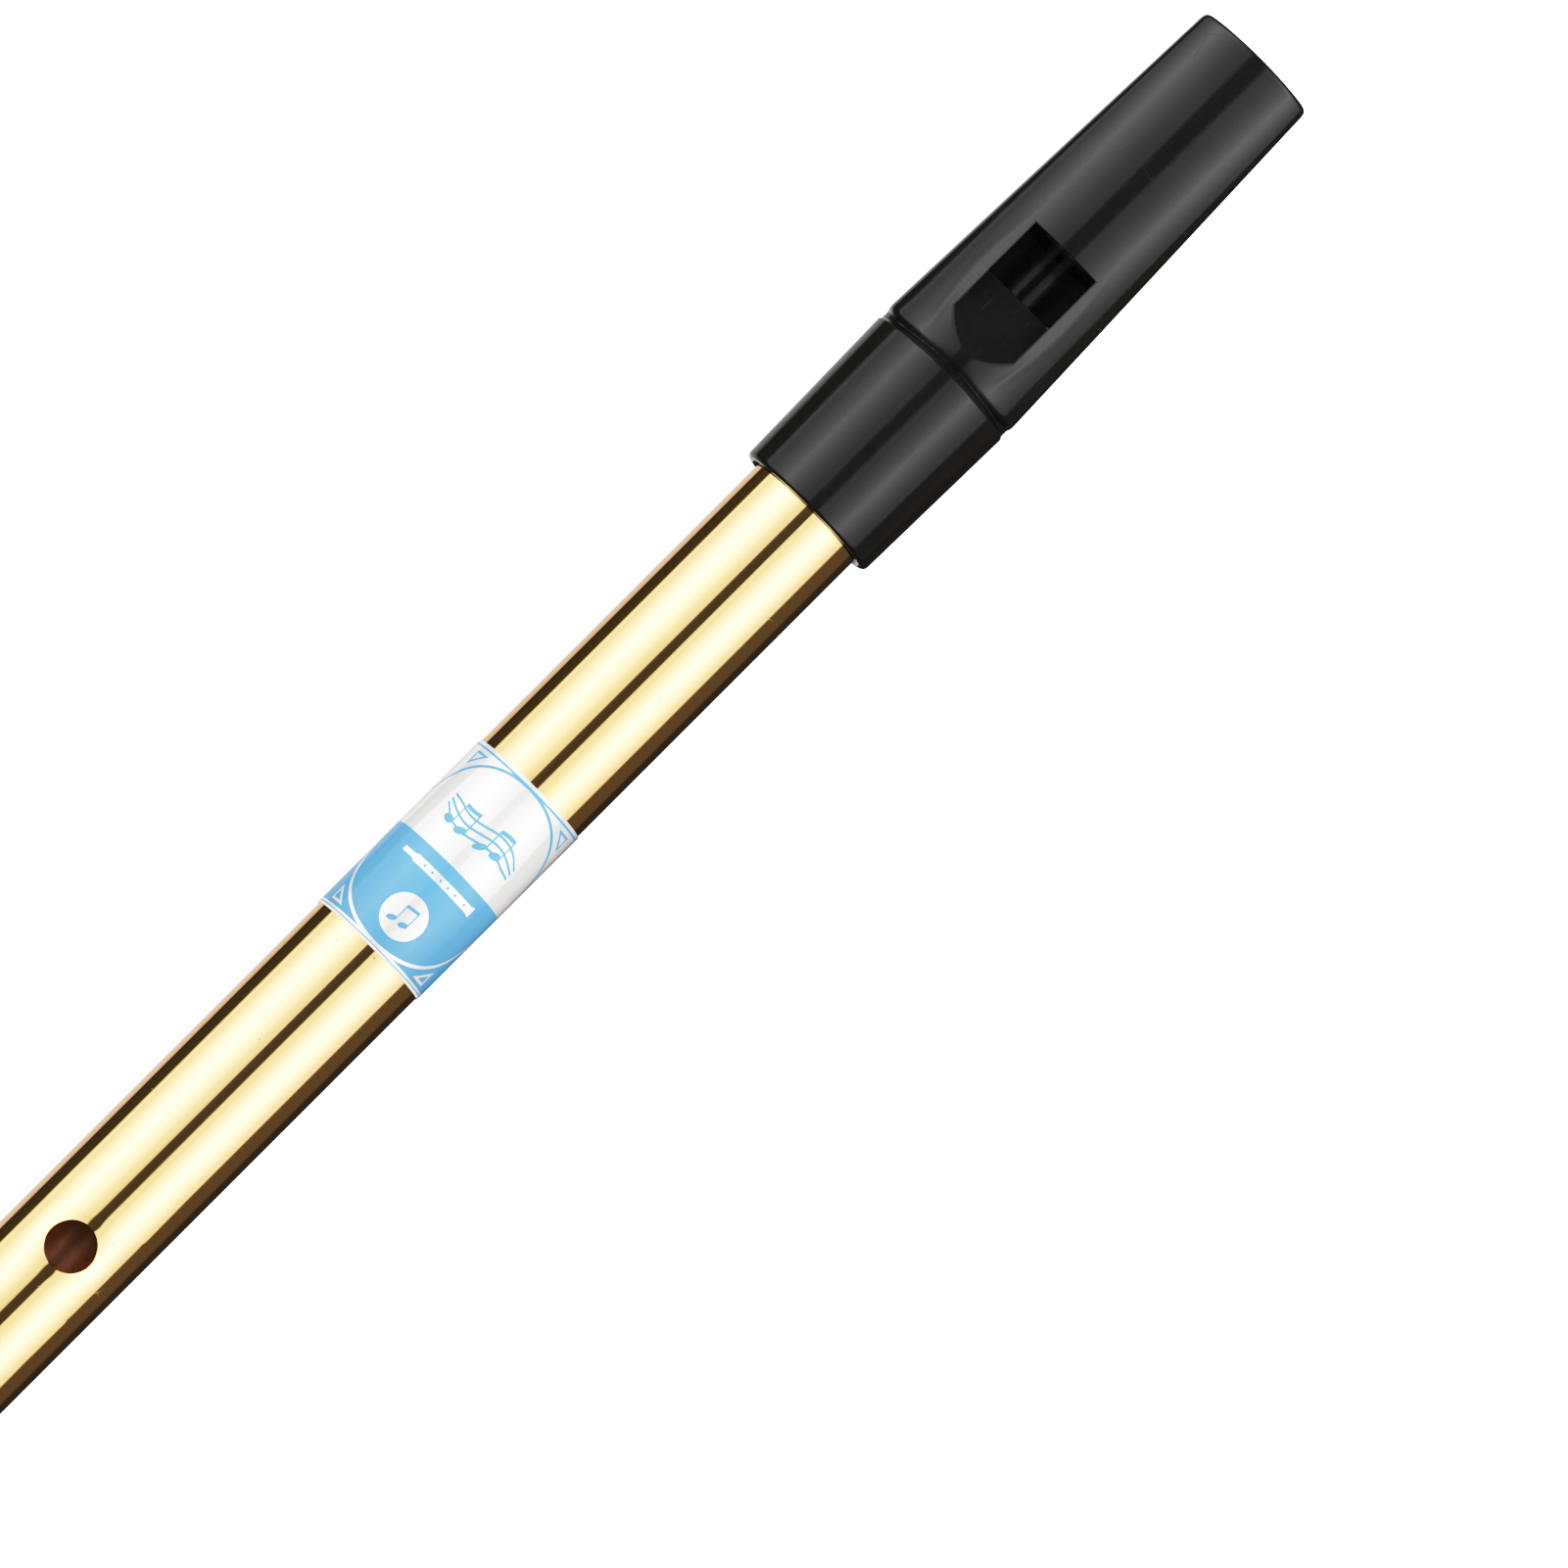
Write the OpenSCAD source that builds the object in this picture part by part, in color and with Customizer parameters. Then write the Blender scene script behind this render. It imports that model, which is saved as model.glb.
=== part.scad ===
// High D tin whistle: a thin brass tube with six tone holes, a printed wrap
// label, and a moulded mouthpiece that pushes over the top of the tube.
// Millimetres. The tube's axis is X: the open foot end is at the origin, the
// mouth end is at +X, and the tone holes and the sound window face +Z.

/* [Tube] */
// Outside diameter of the brass tube
tube_od = 12.4; // [12:0.1:12.8]
// Wall thickness of the tube
tube_wall = 0.4; // [0.3:0.05:0.6]
// Length of the tube, which ends inside the mouthpiece
tube_l = 260.5; // [250:0.5:262]

/* [Tone holes] */
// Distance of each tone hole's centre from the foot end, lowest hole first
hole_x = [40.3, 65.4, 85.2, 106.3, 127.9, 148.4]; // [20:0.1:180]
// Diameter of each tone hole, lowest hole first
hole_d = [6.4, 6.4, 4.8, 5.6, 5.6, 4.8]; // [4:0.1:7]

/* [Label] */
// Foot-side edge of the printed wrap label
label_x = 186.8; // [160:0.1:215]
// Length of the label along the tube
label_l = 20.8; // [10:0.1:25]
// Thickness of the label
label_t = 0.12; // [0.08:0.01:0.25]

/* [Mouthpiece socket] */
// Length of the whole mouthpiece
head_l = 57.9; // [57:0.1:60]
// Depth of tube that the socket covers
socket_depth = 17.4; // [14:0.1:18]
// Outside diameter of the socket next to its open end
socket_mouth_od = 14.95; // [14.4:0.05:15.2]
// Outside diameter of the socket at its closed end
socket_end_od = 15.65; // [15.3:0.05:16]
// Radial clearance between the tube and the socket
socket_play = 0.05; // [0.02:0.01:0.08]
// Size of the bevel round the socket's open end
socket_lip = 0.45; // [0.2:0.05:0.6]
// Width of the groove between the socket and the beak
groove_w = 0.6; // [0.4:0.1:1]
// Height of the groove's bottom above the tube's axis, in the middle
groove_top = 7; // [6.8:0.1:7.2]

/* [Beak] */
// Width of the beak at its shoulder
beak_w = 15.7; // [15:0.1:16]
// Width of the beak at the mouth tip
tip_w = 12.8; // [12:0.1:14]
// Height of the beak at the mouth tip
tip_h = 8; // [7.5:0.1:9]
// Height of the beak's top line above the tube's axis
beak_top = 7.65; // [7.5:0.05:7.8]
// How far the top line drops at the shoulder
crown_drop = 0.7; // [0.4:0.1:0.8]
// Length over which it drops
crown_drop_l = 2.8; // [2:0.1:3]
// How much wider the crown's curve is than the beak, on each side
crown_spread = 0.5; // [0.2:0.1:0.8]
// Rounding of the mouth tip's edge
tip_edge = 0.35; // [0.2:0.05:0.6]

/* [Window and windway] */
// Width of the windway, the window and the ramp
windway_w = 7.6; // [6.5:0.1:8]
// Height of the windway
windway_h = 1; // [0.8:0.05:1.3]
// Height of the windway's floor above the tube's axis
floor_z = 4.9; // [4.6:0.05:5]
// Distance of the window's mouth-side edge from the mouth tip
window_from_tip = 25; // [23:0.1:27]
// Length of the sound window, from the windway's exit to the blade
window_l = 5.9; // [4.5:0.1:7]
// Height of the blade's flat underside above the tube's axis
blade_z = 5.15; // [5:0.05:5.3]
// Thickness of the blade's edge
blade_t = 0.15; // [0.1:0.05:0.3]
// Length of the ramp, from the blade to its highest point
ramp_l = 7; // [6:0.1:7.2]
// Inside diameter of the wind chamber between the tube and the block
chamber_d = 10.6; // [10.4:0.1:10.8]

/* [Hidden] */

tube_r = tube_od / 2;
bore_r = tube_r - tube_wall;
chamber_r = chamber_d / 2;

// Stations along the axis, counted from the foot end
socket_stop_gap = 0.2;
socket_x = tube_l - socket_depth;
tip_x = socket_x + head_l;
stop_x = tube_l + socket_stop_gap;
groove_x = stop_x - 0.3;
groove_half_w = 7.65;
groove_bottom = -7.5;
shoulder_x = groove_x + groove_w;
window_x = tip_x - window_from_tip;
blade_x = window_x - window_l;
ramp_x = blade_x - ramp_l;

// The underside stays low as far as the knee and then rises to the tip
knee_x = window_x + 3;
knee_bottom = -6.6;
shoulder_bottom = -7.8;
tip_bottom = beak_top - tip_h;
tip_middle = beak_top - 0.49 * tip_h;
shoulder_middle = 0.7;

// The cavity that the fipple block fills
wall_at_tip = 1.3;
slice_t = 0.02;
reach = 20;
section_steps = 64;

// Value on the straight line from the shoulder's value to the tip's value
function along(x, at_shoulder, at_tip) =
    at_shoulder + (at_tip - at_shoulder) * (x - shoulder_x) / (tip_x - shoulder_x);

// One thin slice across the beak: two half ellipses that share their width,
// cut off upright at the sides where they are wider than half_w
module beak_slice(x, half_w, spread, top, middle, bottom) {
    outline = [for (i = [0 : section_steps - 1])
        let (turn = 360 * i / section_steps, rise = sin(turn) > 0 ? top - middle : middle - bottom)
        [max(-half_w, min(half_w, (half_w + spread) * cos(turn))), middle + rise * sin(turn)]];
    translate([x, 0, 0]) rotate([90, 0, 90]) linear_extrude(slice_t) polygon(outline);
}

// A slice of the beak's outside, drawn in by inset all round, with its top lowered by drop
module outer_slice(x, inset, bottom, drop = 0) {
    middle = along(x, shoulder_middle, tip_middle);
    half_w = along(x, beak_w, tip_w) / 2;
    beak_slice(x, half_w - inset, crown_spread, beak_top - drop - inset, middle, bottom + inset);
}

// Everything that turns about the tube's axis, from low to high X
module along_axis(x0, x1, r) {
    translate([x0, 0, 0]) rotate([0, 90, 0]) cylinder(h = x1 - x0, r = r, $fn = 96);
}

module tube() {
    color("goldenrod") difference() {
        along_axis(0, tube_l, tube_r);
        along_axis(-1, tube_l + 1, bore_r);
        for (i = [0 : len(hole_x) - 1])
            translate([hole_x[i], 0, 0]) cylinder(h = tube_od, d = hole_d[i], $fn = 48);
    }
}

module label() {
    color("skyblue") difference() {
        along_axis(label_x, label_x + label_l, tube_r + label_t);
        along_axis(label_x - 1, label_x + label_l + 1, tube_r);
    }
}

// Solid outside of the socket
module socket_outside() {
    mouth_r = socket_mouth_od / 2;
    end_r = socket_end_od / 2;
    rotate([0, 90, 0]) rotate_extrude($fn = 96) polygon([
        [0, socket_x],
        [mouth_r - socket_lip, socket_x],
        [mouth_r, socket_x + socket_lip],
        [end_r, groove_x],
        [end_r - groove_w, shoulder_x],
        [0, shoulder_x]
    ]);
}

// Solid bottom of the groove between the socket and the beak
module groove_outside() {
    hull() for (x = [groove_x - 0.5, shoulder_x + 0.5])
        beak_slice(x, groove_half_w, 0, groove_top, 0, groove_bottom);
}

// Solid outside of the beak
module beak_outside() {
    hull() {
        outer_slice(shoulder_x, 0.1, shoulder_bottom, crown_drop);
        outer_slice(shoulder_x + crown_drop_l / 2, 0, shoulder_bottom, crown_drop / 4);
        outer_slice(shoulder_x + crown_drop_l, 0, shoulder_bottom);
        outer_slice(knee_x, 0, knee_bottom);
        outer_slice(tip_x - tip_edge, 0, tip_bottom);
        outer_slice(tip_x - slice_t, tip_edge, tip_bottom);
    }
}

// Space for the fipple block: round at the window, oval at the mouth tip
module block_space() {
    intersection() {
        hull() {
            translate([window_x, 0, 0]) rotate([0, 90, 0]) cylinder(h = slice_t, r = chamber_r, $fn = 64);
            beak_slice(tip_x - slice_t, tip_w / 2 - wall_at_tip, 0, beak_top - wall_at_tip, tip_middle,
                tip_bottom + wall_at_tip);
        }
        translate([window_x, -reach, -reach]) cube([tip_x - window_x, 2 * reach, reach + floor_z]);
    }
}

// A box as wide as the windway
module windway_box(x0, x1, z0, z1) {
    translate([x0, -windway_w / 2, z0]) cube([x1 - x0, windway_w, z1 - z0]);
}

// The wedge of space above the ramp, from the blade to the ramp's high point
module ramp_space() {
    lip_z = blade_z + blade_t;
    translate([0, windway_w / 2, 0]) rotate([90, 0, 0]) linear_extrude(windway_w) polygon([
        [blade_x, lip_z],
        [blade_x, reach],
        [ramp_x, reach],
        [ramp_x, beak_top]
    ]);
}

module mouthpiece() {
    color("dimgray") difference() {
        union() {
            socket_outside();
            groove_outside();
            beak_outside();
        }
        along_axis(socket_x - 1, stop_x, tube_r + socket_play);
        intersection() {
            along_axis(stop_x - 1, window_x, chamber_r);
            translate([0, -reach, -reach]) cube([tip_x, 2 * reach, reach + blade_z]);
        }
        block_space();
        windway_box(window_x - 1, tip_x + 1, floor_z, floor_z + windway_h);
        windway_box(blade_x, window_x, 0, reach);
        ramp_space();
    }
}

module fipple_block() {
    color("black") block_space();
}

tube();
label();
mouthpiece();
fipple_block();
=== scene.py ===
"""Tin whistle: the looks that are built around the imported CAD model.

Everything is worked out in millimetres in the model's own frame: the tube's axis is X with
the open foot end at x = 0, the mouth tip at the high-x end, and +Z is the side of the tone
holes and the window. Meshes are turned into metres when they are made.
"""

import math

import bpy
import numpy as np
from mathutils import Matrix, Vector


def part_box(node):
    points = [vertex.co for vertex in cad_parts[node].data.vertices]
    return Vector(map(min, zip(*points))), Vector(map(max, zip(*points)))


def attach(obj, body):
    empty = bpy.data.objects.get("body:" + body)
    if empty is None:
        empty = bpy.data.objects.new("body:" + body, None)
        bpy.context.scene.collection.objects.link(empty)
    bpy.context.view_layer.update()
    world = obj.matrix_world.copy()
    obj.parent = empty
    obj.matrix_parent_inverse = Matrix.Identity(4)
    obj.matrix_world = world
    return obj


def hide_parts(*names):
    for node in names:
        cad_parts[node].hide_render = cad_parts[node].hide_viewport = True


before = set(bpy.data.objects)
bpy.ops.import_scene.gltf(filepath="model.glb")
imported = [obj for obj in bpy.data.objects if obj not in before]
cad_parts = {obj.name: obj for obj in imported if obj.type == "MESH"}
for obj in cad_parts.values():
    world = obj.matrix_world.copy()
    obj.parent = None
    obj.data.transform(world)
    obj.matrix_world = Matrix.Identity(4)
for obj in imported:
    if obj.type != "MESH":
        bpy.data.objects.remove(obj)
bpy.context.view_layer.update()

MM = 0.001


def box_mm(node):
    """Lowest and highest corner of a CAD node, in millimetres."""
    low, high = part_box(node)
    return low / MM, high / MM


# ---------------------------------------------------------------- sizes, in millimetres

tube_low, tube_high = box_mm("tube")
label_low, label_high = box_mm("label")
head_low, head_high = box_mm("mouthpiece")
block_low, block_high = box_mm("fipple_block")

TUBE_R = tube_high.y
TUBE_WALL = 0.4
BORE_R = TUBE_R - TUBE_WALL
TUBE_L = tube_high.x

HOLE_X = (40.3, 65.4, 85.2, 106.3, 127.9, 148.4)
HOLE_D = (6.4, 6.4, 4.8, 5.6, 5.6, 4.8)

# lengths along the mouthpiece
STOP_GAP = 0.2
STOP_IN_SOCKET = 0.3
GROOVE_W = 0.6
WINDOW_L = 5.9
RAMP_L = 7.0

# the mouthpiece's stations along the tube
SOCKET_X = head_low.x
STOP_X = TUBE_L + STOP_GAP
GROOVE_X = STOP_X - STOP_IN_SOCKET
SHOULDER_X = GROOVE_X + GROOVE_W
TIP_X = head_high.x
WINDOW_X = block_low.x
BLADE_X = WINDOW_X - WINDOW_L
RAMP_X = BLADE_X - RAMP_L

SOCKET_MOUTH_R = 7.475
SOCKET_END_R = 7.825
SOCKET_PLAY = 0.05
SOCKET_BORE_R = TUBE_R + SOCKET_PLAY
GROOVE_HALF_W = 7.65
GROOVE_TOP = 6.8
GROOVE_BOTTOM = -7.5

BEAK_HALF_W = 7.85
CROWN_SPREAD = 0.5
CROWN_DROP = 0.8
CROWN_DROP_L = 2.8
TIP_HALF_W = 6.4
BEAK_TOP = 7.65
TIP_H = 8.0
# height of the beak's widest line above the tube's axis
SHOULDER_MIDDLE = 0.7
TIP_MIDDLE = BEAK_TOP - 0.49 * TIP_H
SHOULDER_BOTTOM = -7.8
KNEE_X = WINDOW_X + 3.0
KNEE_BOTTOM = -6.6
TIP_BOTTOM = BEAK_TOP - TIP_H
TIP_WALL = 1.3
SHOULDER_BOW = 0.3
TIP_BOW = 0.22
RIDGE_H = 0.035
RIDGE_W = 0.4

WINDWAY_HALF_W = 3.8
WINDWAY_H = 1.0
FLOOR_Z = block_high.z
ROOF_Z = FLOOR_Z + WINDWAY_H
BLADE_Z = 5.15
BLADE_T = 0.15
# the narrow land along the blade's edge, flatter than the ramp
LAND_L = 1.0
LAND_RISE = 0.12
LAND_DROP = 0.09
CHAMBER_R = 5.3

LABEL_X = label_low.x
LABEL_L = label_high.x - label_low.x
LABEL_T = label_high.y - TUBE_R

# how far the weld line beside the window turns outwards as it runs towards the mouth
WELD_SLOPE = 0.6


# ---------------------------------------------------------------- making mesh objects

def make_piece(name, points_mm, faces, material, normals=None):
    """A smooth mesh object from points in millimetres."""
    mesh = bpy.data.meshes.new(name)
    mesh.from_pydata((np.asarray(points_mm) * MM).tolist(), [], [list(map(int, f)) for f in faces])
    mesh.validate()
    mesh.shade_smooth()
    if normals is not None:
        mesh.normals_split_custom_set_from_vertices(np.asarray(normals).tolist())
    piece = bpy.data.objects.new(name, mesh)
    bpy.context.scene.collection.objects.link(piece)
    mesh.materials.append(material)
    return piece


# ---------------------------------------------------------------- node helpers

class Field:
    """A number that varies over a surface: an output socket of a node tree."""

    def __init__(self, tree, socket):
        self.tree = tree
        self.socket = socket

    def math(self, operation, *others):
        node = self.tree.nodes.new("ShaderNodeMath")
        node.operation = operation
        for slot, value in zip(node.inputs, (self, *others)):
            if isinstance(value, Field):
                self.tree.links.new(value.socket, slot)
            else:
                slot.default_value = value
        return Field(self.tree, node.outputs[0])

    def __add__(self, other):
        return self.math("ADD", other)

    def __sub__(self, other):
        return self.math("SUBTRACT", other)

    def __rsub__(self, other):
        return (self * -1.0) + other

    def __mul__(self, other):
        return self.math("MULTIPLY", other)

    def __truediv__(self, other):
        return self.math("DIVIDE", other)

    def __abs__(self):
        return self.math("ABSOLUTE")

    def above(self, limit):
        """1 where the field is above the limit, else 0."""
        return self.math("GREATER_THAN", limit)

    def least(self, other):
        return self.math("MINIMUM", other)

    def most(self, other):
        return self.math("MAXIMUM", other)

    def filled(self, soft=0.03):
        """1 where a signed distance is negative, with a soft edge."""
        return self.ramp(-soft, soft, 1.0, 0.0)

    def stroked(self, width, soft=0.03):
        """1 along a line of that width where a signed distance is zero."""
        return abs(self).ramp(width / 2 - soft, width / 2 + soft, 1.0, 0.0)

    def ramp(self, low, high, to_low=0.0, to_high=1.0):
        """Runs smoothly from to_low to to_high as the field goes from low to high."""
        node = self.tree.nodes.new("ShaderNodeMapRange")
        node.interpolation_type = "SMOOTHSTEP"
        limits = {"From Min": low, "From Max": high, "To Min": to_low, "To Max": to_high}
        for name, value in limits.items():
            node.inputs[name].default_value = value
        self.tree.links.new(self.socket, node.inputs["Value"])
        return Field(self.tree, node.outputs["Result"])


class Surface:
    """A material whose shader is one Principled BSDF, with helpers for its inputs."""

    def __init__(self, name, **constants):
        self.material = bpy.data.materials.new(name)
        self.material.use_nodes = True
        self.tree = self.material.node_tree
        self.shader = self.tree.nodes["Principled BSDF"]
        for key, value in constants.items():
            self.shader.inputs[key.replace("_", " ")].default_value = value

    def new(self, kind, **values):
        node = self.tree.nodes.new(kind)
        for key, value in values.items():
            setattr(node, key, value)
        return node

    def position(self):
        """x, y and z of the surface point in millimetres, in the piece's own frame."""
        split = self.new("ShaderNodeSeparateXYZ")
        self.tree.links.new(self.new("ShaderNodeTexCoord").outputs["Object"], split.inputs[0])
        return [Field(self.tree, output) * (1.0 / MM) for output in split.outputs]

    def noise(self, scale, detail=2.0, roughness=0.5, stretch=(1.0, 1.0, 1.0)):
        """Noise between about 0 and 1, with scale in features per millimetre."""
        mapping = self.new("ShaderNodeMapping")
        mapping.inputs["Scale"].default_value = [axis * scale / MM for axis in stretch]
        texture = self.new("ShaderNodeTexNoise")
        texture.inputs["Scale"].default_value = 1.0
        texture.inputs["Detail"].default_value = detail
        texture.inputs["Roughness"].default_value = roughness
        self.tree.links.new(self.new("ShaderNodeTexCoord").outputs["Object"], mapping.inputs[0])
        self.tree.links.new(mapping.outputs[0], texture.inputs["Vector"])
        return Field(self.tree, texture.outputs[0])

    def spots(self, scale, radius, share, stretch=(1.0, 1.0, 1.0)):
        """1 inside small spots: that share of the cells hold one, scale is cells per millimetre."""
        mapping = self.new("ShaderNodeMapping")
        mapping.inputs["Scale"].default_value = [axis * scale / MM for axis in stretch]
        cells = self.new("ShaderNodeTexVoronoi")
        cells.inputs["Scale"].default_value = 1.0
        split = self.new("ShaderNodeSeparateColor")
        self.tree.links.new(self.new("ShaderNodeTexCoord").outputs["Object"], mapping.inputs[0])
        self.tree.links.new(mapping.outputs[0], cells.inputs["Vector"])
        self.tree.links.new(cells.outputs["Color"], split.inputs[0])
        near = Field(self.tree, cells.outputs["Distance"]).ramp(radius * 0.6, radius, 1.0, 0.0)
        chosen = Field(self.tree, split.outputs[0]).math("LESS_THAN", share)
        return near * chosen

    def scratches(self, scale, width, stretch=(1.0, 1.0, 1.0)):
        """1 on thin straight scratches: broken stretches of the borders between large cells."""
        mapping = self.new("ShaderNodeMapping")
        mapping.inputs["Scale"].default_value = [axis * scale / MM for axis in stretch]
        cells = self.new("ShaderNodeTexVoronoi", feature="DISTANCE_TO_EDGE")
        cells.inputs["Scale"].default_value = 1.0
        self.tree.links.new(self.new("ShaderNodeTexCoord").outputs["Object"], mapping.inputs[0])
        self.tree.links.new(mapping.outputs[0], cells.inputs["Vector"])
        line = Field(self.tree, cells.outputs["Distance"]).ramp(width * 0.3, width, 1.0, 0.0)
        return line * self.noise(scale * 1.3, detail=1.0).ramp(0.56, 0.64)

    def mix(self, amount, first, second):
        """Colour between first and second; either may be a colour or a socket."""
        node = self.new("ShaderNodeMix", data_type="RGBA")
        self.tree.links.new(amount.socket, node.inputs["Factor"])
        for slot, value in ((node.inputs[6], first), (node.inputs[7], second)):
            if isinstance(value, tuple):
                slot.default_value = (*value, 1.0)
            else:
                self.tree.links.new(value, slot)
        return node.outputs[2]

    def set(self, name, value):
        socket = value.socket if isinstance(value, Field) else value
        self.tree.links.new(socket, self.shader.inputs[name])

    def bump(self, height, distance_mm, strength=1.0):
        node = self.new("ShaderNodeBump")
        node.inputs["Strength"].default_value = strength
        node.inputs["Distance"].default_value = distance_mm * MM
        self.tree.links.new(height.socket, node.inputs["Height"])
        self.tree.links.new(node.outputs[0], self.shader.inputs["Normal"])


# ---------------------------------------------------------------- materials

def brass_material():
    """Polished and lacquered brass: faint draw lines, haze, specks, and a painted pinkish
    reflection tint at the foot end.
    """
    s = Surface("brass_lacquered", Metallic=1.0, Coat_Weight=0.4, Coat_Roughness=0.02)
    x, _, _ = s.position()
    haze = s.noise(0.05, detail=3.0)
    lines = s.noise(2.5, detail=2.0, stretch=(0.01, 1.0, 1.0))
    specks = s.spots(0.8, 0.11, 0.10)
    scratches = s.scratches(0.12, 0.004, stretch=(0.5, 1.0, 1.0))
    golden = s.mix(haze.ramp(0.3, 0.7), (0.945, 0.63, 0.275), (0.965, 0.655, 0.30))
    lined = s.mix(lines.ramp(0.45, 0.75, 0.0, 0.2), golden, (0.86, 0.52, 0.20))
    # painted reflection: the pinkish tint towards the foot end is reflected light painted into the
    # brass's colour
    painted_foot_tint = (x + haze * 8.0).ramp(6.0, 13.0, 0.75, 0.0)
    lined_and_foot_tinted = s.mix(painted_foot_tint, lined, (0.93, 0.47, 0.27))
    s.set("Base Color", s.mix(specks * 0.7, lined_and_foot_tinted, (0.30, 0.17, 0.07)))
    s.set("Roughness", lines.ramp(0.3, 0.8, 0.03, 0.055) + specks * 0.25 + scratches * 0.2)
    s.bump(lines * 0.5 - specks - scratches, 0.002)
    return s.material


def bore_material():
    """The tube's inside: unpolished brass that has browned."""
    s = Surface("brass_bore", Metallic=0.9)
    stain = s.noise(0.3, detail=4.0, roughness=0.5, stretch=(0.4, 1.0, 1.0))
    lines = s.noise(2.0, detail=2.0, stretch=(0.03, 1.0, 1.0))
    brown = s.mix(stain.ramp(0.3, 0.7), (0.86, 0.50, 0.31), (0.78, 0.43, 0.26))
    s.set("Base Color", s.mix(lines.ramp(0.5, 0.8, 0.0, 0.3), brown, (0.92, 0.60, 0.38)))
    s.set("Roughness", stain.ramp(0.3, 0.7, 0.30, 0.38))
    s.bump(lines, 0.003)
    return s.material


def moulding_material():
    """Gloss black moulded plastic with handling scratches and a weld line beside the window."""
    s = Surface("moulded_black")
    x, y, z = s.position()
    cloud = s.noise(0.25, detail=3.0)
    ripple = s.noise(0.9, detail=3.0)
    scuffs = s.noise(3.0, detail=3.0, stretch=(0.2, 1.0, 1.0))
    specks = s.spots(0.9, 0.10, 0.10)
    scratches = s.scratches(0.16, 0.006, stretch=(0.5, 1.0, 1.0))
    along_weld = (x - WINDOW_X) * WELD_SLOPE
    weld = (y - WINDWAY_HALF_W - along_weld).stroked(0.10, 0.04) * z.above(0.0)
    weld = weld * (x - WINDOW_X).ramp(-0.1, 0.2) * (x - WINDOW_X).ramp(2.6, 3.6, 1.0, 0.0)
    black = s.mix(cloud.ramp(0.3, 0.7), (0.0115, 0.0115, 0.0118), (0.0135, 0.0135, 0.0135))
    s.set("Base Color", black)
    s.set("Specular IOR Level", x.ramp(SHOULDER_X, TIP_X, 0.45, 0.52))
    s.set("Roughness", scuffs.ramp(0.45, 0.85, 0.10, 0.24) + specks * 0.2 + scratches * 0.2)
    s.bump(ripple * 0.8 - specks - scratches - weld * 1.5, 0.003)
    return s.material


def cavity_material():
    """The same plastic inside the mouthpiece, where the mould was never polished."""
    s = Surface("moulded_black_inside", Specular_IOR_Level=0.45)
    grain = s.noise(2.5, detail=3.0)
    s.set("Base Color", s.mix(grain.ramp(0.3, 0.7), (0.05, 0.05, 0.05), (0.065, 0.065, 0.065)))
    s.set("Roughness", grain.ramp(0.3, 0.7, 0.09, 0.16))
    s.bump(grain, 0.003)
    return s.material


def block_material():
    """The block: the same plastic, duller than the mouthpiece."""
    s = Surface("block_black", Specular_IOR_Level=0.4)
    grain = s.noise(2.0, detail=3.0)
    s.set("Base Color", s.mix(grain.ramp(0.3, 0.7), (0.008, 0.008, 0.008), (0.013, 0.013, 0.013)))
    s.set("Roughness", grain.ramp(0.3, 0.7, 0.22, 0.4))
    s.bump(grain, 0.004)
    return s.material


LABEL_WHITE = (0.92, 0.915, 0.905)
LABEL_BLUE = (0.14, 0.352, 0.595)


def label_frame(u, v):
    """Border lines, a large oval and four small corner triangles: 1 on the lines."""
    half_u, half_v = 9.5, LABEL_L / 2 - 0.45
    border = (abs(u) - half_u).most(abs(v) - half_v).stroked(0.22)
    oval = ((u / 9.5).math("POWER", 2.0) + (v / 9.9).math("POWER", 2.0)).math("SQRT")
    ring = ((oval - 1.0) * 9.7).stroked(0.31)
    across, up = abs(u), abs(v)
    slant = ((half_v - 0.5 - up) / 1.7 + (7.1 - across) / 2.0 - 1.0) * 1.3
    triangle = (across - 7.1).most(up - half_v + 0.5).most(slant)
    return border.most(ring).most((triangle + 0.12).stroked(0.24))


def label_whistle(u, v):
    """A small picture of a whistle lying across the label: body and six hole dots."""
    height = u.ramp(-3.3, -2.9, 0.25, 0.4) + u.ramp(4.1, 4.5, 0.0, 0.12)
    body = (abs(v + 1.7) - height).most(abs(u) - 4.65).filled()
    dots = None
    for place in (-1.75, -0.8, 0.25, 1.2, 2.15, 3.45):
        dot = ((u - place).math("POWER", 2.0) + (v + 1.7).math("POWER", 2.0)).math("SQRT") - 0.14
        dots = dot if dots is None else dots.least(dot)
    return body - dots.filled(0.04)


def label_notes(u, v, size):
    """Two quavers joined by a beam, as a signed distance; size is the width of a note head."""
    heads = None
    for place, lift in ((-0.95, -0.95), (0.55, -0.75)):
        du = (u - place * size) / 0.55
        dv = (v - lift * size - (u - place * size) * 0.35) / 0.38
        head = ((du * du + dv * dv).math("SQRT") - size) * 0.4
        heads = head if heads is None else heads.least(head)
    across = u - 0.25 * size
    stems = (abs(abs(across) - 0.75 * size) - 0.08 * size).most(abs(v - 0.2 * size) - 1.1 * size)
    beam = (abs(v - 1.2 * size - across * 0.13) - 0.2 * size).most(abs(across) - 0.83 * size)
    return heads.least(stems).least(beam)


def label_stave(u, v):
    """An ornament: waving stave lines that close up at both ends, with four quavers on them."""
    level = v - 3.9 + u * 0.10 - (u * 0.75).math("SINE") * 0.5
    spread = abs(u).ramp(3.2, 5.0, 1.0, 0.6)
    line = (level / spread).math("PINGPONG", 0.42) * spread
    stave = line.stroked(0.26) * (abs(level / spread) - 1.05).filled(0.02) * (abs(u) - 4.8).filled()
    notes = label_notes(u + 2.4, level, 1.1).least(label_notes(u - 1.6, level, 1.1))
    return stave.most(notes.filled())


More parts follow.
